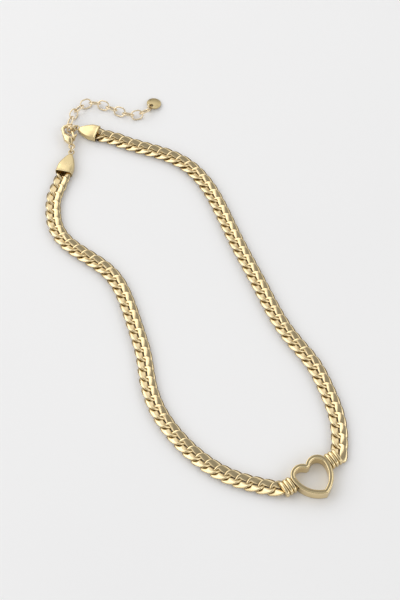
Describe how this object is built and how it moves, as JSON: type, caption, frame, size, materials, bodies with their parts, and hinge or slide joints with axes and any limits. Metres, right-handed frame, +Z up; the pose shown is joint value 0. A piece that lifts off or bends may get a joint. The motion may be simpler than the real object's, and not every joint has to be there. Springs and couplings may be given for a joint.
{
  "type": "pendant necklace",
  "caption": "Open heart pendant between ribbed connectors on a flat curb chain, with end caps, a lobster clasp and an extender chain with a round tag.",
  "frame": {"origin": "on the supporting surface, under the middle of the whole necklace as it lies closed", "axes": "+Z up from the surface, +Y from the heart's end towards the clasp's end, +X to the right seen from above with the clasp at the top"},
  "size_m": [0.1126, 0.1774, 0.0046],
  "materials": {
    "gold_plate": "polished warm gold plate",
    "pale_gold_wire": "polished pale gold wire",
    "tag_gold": "satin gold plate",
    "spring_steel": "plain spring strip"
  },
  "bodies": {
    "pendant": {"heart": "gold_plate", "connector_left": "gold_plate", "connector_right": "gold_plate", "chain_left_01": "gold_plate", "chain_right_01": "gold_plate"},
    "left_chain_02": {"chain_left_02": "gold_plate"},
    "left_chain_03": {"chain_left_03": "gold_plate"},
    "left_chain_04": {"chain_left_04": "gold_plate"},
    "left_chain_05": {"chain_left_05": "gold_plate"},
    "left_chain_06": {"chain_left_06": "gold_plate"},
    "left_chain_07": {"chain_left_07": "gold_plate"},
    "left_chain_08": {"chain_left_08": "gold_plate"},
    "left_chain_09": {"chain_left_09": "gold_plate"},
    "left_chain_10": {"chain_left_10": "gold_plate"},
    "left_chain_11": {"chain_left_11": "gold_plate"},
    "left_chain_12": {"chain_left_12": "gold_plate"},
    "left_chain_13": {"chain_left_13": "gold_plate"},
    "left_chain_14": {"chain_left_14": "gold_plate"},
    "left_chain_15": {"chain_left_15": "gold_plate"},
    "left_chain_16": {"chain_left_16": "gold_plate"},
    "left_chain_17": {"chain_left_17": "gold_plate", "end_cap_left": "gold_plate"},
    "right_chain_02": {"chain_right_02": "gold_plate"},
    "right_chain_03": {"chain_right_03": "gold_plate"},
    "right_chain_04": {"chain_right_04": "gold_plate"},
    "right_chain_05": {"chain_right_05": "gold_plate"},
    "right_chain_06": {"chain_right_06": "gold_plate"},
    "right_chain_07": {"chain_right_07": "gold_plate"},
    "right_chain_08": {"chain_right_08": "gold_plate"},
    "right_chain_09": {"chain_right_09": "gold_plate"},
    "right_chain_10": {"chain_right_10": "gold_plate"},
    "right_chain_11": {"chain_right_11": "gold_plate"},
    "right_chain_12": {"chain_right_12": "gold_plate"},
    "right_chain_13": {"chain_right_13": "gold_plate"},
    "right_chain_14": {"chain_right_14": "gold_plate"},
    "right_chain_15": {"chain_right_15": "gold_plate"},
    "right_chain_16": {"chain_right_16": "gold_plate"},
    "right_chain_17": {"chain_right_17": "gold_plate", "end_cap_right": "gold_plate"},
    "left_ring": {"left_jump_ring": "pale_gold_wire"},
    "clasp": {"clasp_body": "gold_plate", "clasp_rivet": "gold_plate", "clasp_spring": "spring_steel"},
    "trigger": {"clasp_trigger": "gold_plate"},
    "right_ring": {"right_jump_ring": "pale_gold_wire"},
    "extender_01": {"extender_link_01": "pale_gold_wire"},
    "extender_02": {"extender_link_02": "pale_gold_wire"},
    "extender_03": {"extender_link_03": "pale_gold_wire"},
    "extender_04": {"extender_link_04": "pale_gold_wire"},
    "extender_05": {"extender_link_05": "pale_gold_wire"},
    "extender_06": {"extender_link_06": "pale_gold_wire"},
    "extender_07": {"extender_link_07": "pale_gold_wire"},
    "extender_08": {"extender_link_08": "pale_gold_wire"},
    "extender_09": {"extender_link_09": "pale_gold_wire"},
    "extender_10": {"extender_link_10": "pale_gold_wire"},
    "extender_11": {"extender_link_11": "pale_gold_wire"},
    "extender_12": {"extender_link_12": "pale_gold_wire"},
    "tag_ring": {"tag_ring": "pale_gold_wire"},
    "tag": {"extender_tag": "tag_gold"}
  },
  "joints": [
    {"name": "left_fold_02", "type": "hinge", "parent": "pendant", "child": "left_chain_02", "pos_m": [0.02117, -0.08278, 0.0013], "axis": [0.8189, 0.5739, 0], "range_deg": [0, 4]},
    {"name": "left_fold_03", "type": "hinge", "parent": "left_chain_02", "child": "left_chain_03", "pos_m": [0.00989, -0.07791, 0.0013], "axis": [0.8075, 0.5899, 0], "range_deg": [0, 6]},
    {"name": "left_fold_04", "type": "hinge", "parent": "left_chain_03", "child": "left_chain_04", "pos_m": [0.0033, -0.07302, 0.0013], "axis": [0.8063, 0.5915, 0], "range_deg": [0, 6]},
    {"name": "left_fold_05", "type": "hinge", "parent": "left_chain_04", "child": "left_chain_05", "pos_m": [-0.00248, -0.06718, 0.0013], "axis": [0.7614, 0.6483, 0], "range_deg": [0, 6]},
    {"name": "left_fold_06", "type": "hinge", "parent": "left_chain_05", "child": "left_chain_06", "pos_m": [-0.00968, -0.0572, 0.0013], "axis": [0.761, 0.6487, 0], "range_deg": [0, 6]},
    {"name": "left_fold_07", "type": "hinge", "parent": "left_chain_06", "child": "left_chain_07", "pos_m": [-0.01307, -0.04972, 0.0013], "axis": [0.7594, 0.6506, 0], "range_deg": [0, 6]},
    {"name": "left_fold_08", "type": "hinge", "parent": "left_chain_07", "child": "left_chain_08", "pos_m": [-0.01578, -0.03771, 0.0013], "axis": [0.7481, 0.6636, 0], "range_deg": [0, 6]},
    {"name": "left_fold_09", "type": "hinge", "parent": "left_chain_08", "child": "left_chain_09", "pos_m": [-0.01729, -0.02963, 0.0013], "axis": [0.7379, 0.6749, 0], "range_deg": [0, 6]},
    {"name": "left_fold_10", "type": "hinge", "parent": "left_chain_09", "child": "left_chain_10", "pos_m": [-0.02073, -0.01778, 0.0013], "axis": [0.7295, 0.6839, 0], "range_deg": [0, 6]},
    {"name": "left_fold_11", "type": "hinge", "parent": "left_chain_10", "child": "left_chain_11", "pos_m": [-0.02324, -0.00995, 0.0013], "axis": [0.726, 0.6877, 0], "range_deg": [0, 6]},
    {"name": "left_fold_12", "type": "hinge", "parent": "left_chain_11", "child": "left_chain_12", "pos_m": [-0.02844, 0.00119, 0.0013], "axis": [0.7275, 0.6861, 0], "range_deg": [0, 6]},
    {"name": "left_fold_13", "type": "hinge", "parent": "left_chain_12", "child": "left_chain_13", "pos_m": [-0.03399, 0.0072, 0.0013], "axis": [0.7306, 0.6828, 0], "range_deg": [0, 6]},
    {"name": "left_fold_14", "type": "hinge", "parent": "left_chain_13", "child": "left_chain_14", "pos_m": [-0.04381, 0.01466, 0.0013], "axis": [0.7288, 0.6847, 0], "range_deg": [0, 6]},
    {"name": "left_fold_15", "type": "hinge", "parent": "left_chain_14", "child": "left_chain_15", "pos_m": [-0.04945, 0.02057, 0.0013], "axis": [0.7309, 0.6825, 0], "range_deg": [0, 6]},
    {"name": "left_fold_16", "type": "hinge", "parent": "left_chain_15", "child": "left_chain_16", "pos_m": [-0.0531, 0.03216, 0.0013], "axis": [0.7281, 0.6855, 0], "range_deg": [0, 6]},
    {"name": "left_fold_17", "type": "hinge", "parent": "left_chain_16", "child": "left_chain_17", "pos_m": [-0.05267, 0.04031, 0.0013], "axis": [0.6927, 0.7213, 0], "range_deg": [0, 6]},
    {"name": "right_fold_02", "type": "hinge", "parent": "pendant", "child": "right_chain_02", "pos_m": [0.053, -0.06048, 0.0013], "axis": [0.8189, 0.5739, 0], "range_deg": [0, 4]},
    {"name": "right_fold_03", "type": "hinge", "parent": "right_chain_02", "child": "right_chain_03", "pos_m": [0.05027, -0.04841, 0.0013], "axis": [0.8075, 0.5899, 0], "range_deg": [0, 6]},
    {"name": "right_fold_04", "type": "hinge", "parent": "right_chain_03", "child": "right_chain_04", "pos_m": [0.04743, -0.04064, 0.0013], "axis": [0.8063, 0.5915, 0], "range_deg": [0, 6]},
    {"name": "right_fold_05", "type": "hinge", "parent": "right_chain_04", "child": "right_chain_05", "pos_m": [0.04134, -0.02987, 0.0013], "axis": [0.7614, 0.6483, 0], "range_deg": [0, 6]},
    {"name": "right_fold_06", "type": "hinge", "parent": "right_chain_05", "child": "right_chain_06", "pos_m": [0.03453, -0.01951, 0.0013], "axis": [0.761, 0.6487, 0], "range_deg": [0, 6]},
    {"name": "right_fold_07", "type": "hinge", "parent": "right_chain_06", "child": "right_chain_07", "pos_m": [0.03084, -0.0121, 0.0013], "axis": [0.7594, 0.6506, 0], "range_deg": [0, 6]},
    {"name": "right_fold_08", "type": "hinge", "parent": "right_chain_07", "child": "right_chain_08", "pos_m": [0.02595, -0.00069, 0.0013], "axis": [0.7481, 0.6636, 0], "range_deg": [0, 6]},
    {"name": "right_fold_09", "type": "hinge", "parent": "right_chain_08", "child": "right_chain_09", "pos_m": [0.02265, 0.0069, 0.0013], "axis": [0.7379, 0.6749, 0], "range_deg": [0, 6]},
    {"name": "right_fold_10", "type": "hinge", "parent": "right_chain_09", "child": "right_chain_10", "pos_m": [0.01776, 0.01831, 0.0013], "axis": [0.7295, 0.6839, 0], "range_deg": [0, 6]},
    {"name": "right_fold_11", "type": "hinge", "parent": "right_chain_10", "child": "right_chain_11", "pos_m": [0.0147, 0.02599, 0.0013], "axis": [0.726, 0.6877, 0], "range_deg": [0, 6]},
    {"name": "right_fold_12", "type": "hinge", "parent": "right_chain_11", "child": "right_chain_12", "pos_m": [0.01007, 0.03751, 0.0013], "axis": [0.7275, 0.6861, 0], "range_deg": [0, 6]},
    {"name": "right_fold_13", "type": "hinge", "parent": "right_chain_12", "child": "right_chain_13", "pos_m": [0.00634, 0.04489, 0.0013], "axis": [0.7306, 0.6828, 0], "range_deg": [0, 6]},
    {"name": "right_fold_14", "type": "hinge", "parent": "right_chain_13", "child": "right_chain_14", "pos_m": [-0.00143, 0.05448, 0.0013], "axis": [0.7288, 0.6847, 0], "range_deg": [0, 6]},
    {"name": "right_fold_15", "type": "hinge", "parent": "right_chain_14", "child": "right_chain_15", "pos_m": [-0.00833, 0.05897, 0.0013], "axis": [0.7309, 0.6825, 0], "range_deg": [0, 6]},
    {"name": "right_fold_16", "type": "hinge", "parent": "right_chain_15", "child": "right_chain_16", "pos_m": [-0.01991, 0.06341, 0.0013], "axis": [0.7281, 0.6855, 0], "range_deg": [0, 6]},
    {"name": "right_fold_17", "type": "hinge", "parent": "right_chain_16", "child": "right_chain_17", "pos_m": [-0.02758, 0.06644, 0.0013], "axis": [0.6927, 0.7213, 0], "range_deg": [0, 6]},
    {"name": "left_ring_turn", "type": "hinge", "parent": "left_chain_17", "child": "left_ring", "pos_m": [-0.04732, 0.06165, 0.00228], "axis": [0.0185, 0.9998, 0], "range_deg": [-10, 10]},
    {"name": "clasp_roll", "type": "hinge", "parent": "left_chain_17", "child": "clasp", "pos_m": [-0.0473, 0.063, 0.00245], "axis": [-0.2571, 0.9664, 0], "range_deg": [-5, 5]},
    {"name": "trigger_open", "type": "hinge", "parent": "clasp", "child": "trigger", "pos_m": [-0.0468, 0.06675, 0.00245], "axis": [0, 0, 1], "range_deg": [0, 20], "stiffness_Nm_per_rad": 0.0006, "springref_deg": -8.59},
    {"name": "right_ring_turn", "type": "hinge", "parent": "right_chain_17", "child": "right_ring", "pos_m": [-0.04763, 0.07201, 0.0023], "axis": [0.9354, 0.3535, 0], "range_deg": [-3, 3]},
    {"name": "extender_01_swing", "type": "hinge", "parent": "right_ring", "child": "extender_01", "pos_m": [-0.04786, 0.07169, 0.00076], "axis": [0, 0, 1], "range_deg": [0, 8]},
    {"name": "extender_02_lift", "type": "hinge", "parent": "extender_01", "child": "extender_02", "pos_m": [-0.04851, 0.07438, 0.00173], "axis": [0.989, -0.1478, 0], "range_deg": [0, 18]},
    {"name": "extender_03_swing", "type": "hinge", "parent": "extender_02", "child": "extender_03", "pos_m": [-0.04822, 0.07819, 0.00174], "axis": [0, 0, -1], "range_deg": [-15, 15]},
    {"name": "extender_04_lift", "type": "hinge", "parent": "extender_03", "child": "extender_04", "pos_m": [-0.04659, 0.08166, 0.0016], "axis": [0.766, -0.6428, 0], "range_deg": [0, 18]},
    {"name": "extender_05_swing", "type": "hinge", "parent": "extender_04", "child": "extender_05", "pos_m": [-0.04432, 0.08472, 0.00146], "axis": [0, 0, 1], "range_deg": [-15, 15]},
    {"name": "extender_06_lift", "type": "hinge", "parent": "extender_05", "child": "extender_06", "pos_m": [-0.04089, 0.08629, 0.00146], "axis": [-0.1115, -0.9938, 0], "range_deg": [0, 18]},
    {"name": "extender_07_swing", "type": "hinge", "parent": "extender_06", "child": "extender_07", "pos_m": [-0.03717, 0.0856, 0.00146], "axis": [0, 0, -1], "range_deg": [-15, 15]},
    {"name": "extender_08_lift", "type": "hinge", "parent": "extender_07", "child": "extender_08", "pos_m": [-0.03377, 0.08397, 0.00146], "axis": [-0.4337, -0.9011, 0], "range_deg": [0, 18]},
    {"name": "extender_09_swing", "type": "hinge", "parent": "extender_08", "child": "extender_09", "pos_m": [-0.03044, 0.08224, 0.00146], "axis": [0, 0, 1], "range_deg": [-15, 15]},
    {"name": "extender_10_lift", "type": "hinge", "parent": "extender_09", "child": "extender_10", "pos_m": [-0.02709, 0.08058, 0.00146], "axis": [-0.2334, -0.9724, 0], "range_deg": [0, 18]},
    {"name": "extender_11_swing", "type": "hinge", "parent": "extender_10", "child": "extender_11", "pos_m": [-0.02348, 0.07942, 0.00146], "axis": [0, 0, -1], "range_deg": [-15, 15]},
    {"name": "extender_12_lift", "type": "hinge", "parent": "extender_11", "child": "extender_12", "pos_m": [-0.01995, 0.08032, 0.00147], "axis": [0.4955, -0.8686, 0], "range_deg": [0, 18]},
    {"name": "tag_ring_swing", "type": "hinge", "parent": "extender_12", "child": "tag_ring", "pos_m": [-0.01675, 0.08265, 0.00105], "axis": [0, 0, 1], "range_deg": [-15, 15]},
    {"name": "tag_lift", "type": "hinge", "parent": "tag_ring", "child": "tag", "pos_m": [-0.01638, 0.08397, 0.00122], "axis": [0.832, -0.5548, 0], "range_deg": [0, 12]}
  ],
  "couplings": [
    {"joint": "right_fold_02", "follows": "left_fold_02", "ratio": 1},
    {"joint": "right_fold_03", "follows": "left_fold_03", "ratio": 1},
    {"joint": "right_fold_04", "follows": "left_fold_04", "ratio": 1},
    {"joint": "right_fold_05", "follows": "left_fold_05", "ratio": 1},
    {"joint": "right_fold_06", "follows": "left_fold_06", "ratio": 1},
    {"joint": "right_fold_07", "follows": "left_fold_07", "ratio": 1},
    {"joint": "right_fold_08", "follows": "left_fold_08", "ratio": 1},
    {"joint": "right_fold_09", "follows": "left_fold_09", "ratio": 1},
    {"joint": "right_fold_10", "follows": "left_fold_10", "ratio": 1},
    {"joint": "right_fold_11", "follows": "left_fold_11", "ratio": 1},
    {"joint": "right_fold_12", "follows": "left_fold_12", "ratio": 1},
    {"joint": "right_fold_13", "follows": "left_fold_13", "ratio": 1},
    {"joint": "right_fold_14", "follows": "left_fold_14", "ratio": 1},
    {"joint": "right_fold_15", "follows": "left_fold_15", "ratio": 1},
    {"joint": "right_fold_16", "follows": "left_fold_16", "ratio": 1},
    {"joint": "right_fold_17", "follows": "left_fold_17", "ratio": 1}
  ]
}
